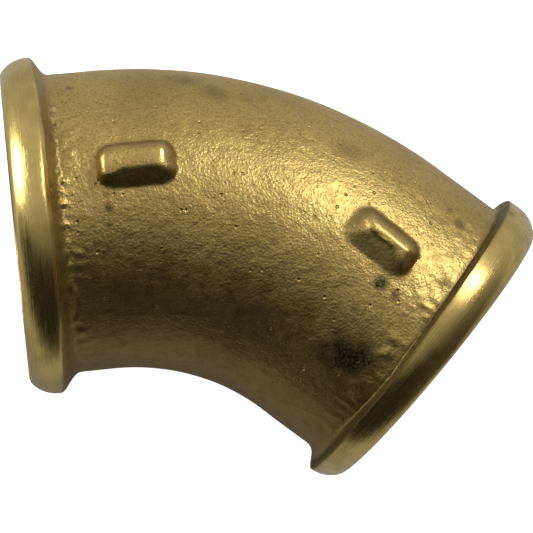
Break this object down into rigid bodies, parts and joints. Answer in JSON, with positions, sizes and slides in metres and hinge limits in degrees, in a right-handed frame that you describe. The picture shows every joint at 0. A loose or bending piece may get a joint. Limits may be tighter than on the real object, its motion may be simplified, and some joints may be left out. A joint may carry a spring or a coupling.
{
  "type": "45 degree pipe elbow",
  "caption": "Cast brass 45 degree pipe elbow, female threaded at both ends, with a turned band round each end and raised lugs on the body.",
  "frame": {"origin": "centre of end A's face, on the axis of its thread", "axes": "+X runs into leg A along its axis; leg B turns off by 45 degrees towards -Y; +Z is square to the plane of the bend, so the fitting lies on its side"},
  "size_m": [0.0541, 0.0467, 0.0352],
  "materials": {
    "cast_brass": "as cast and grainy, with turned bright bands at both ends"
  },
  "bodies": {
    "root": {"elbow_casting": "cast_brass"}
  },
  "joints": []
}
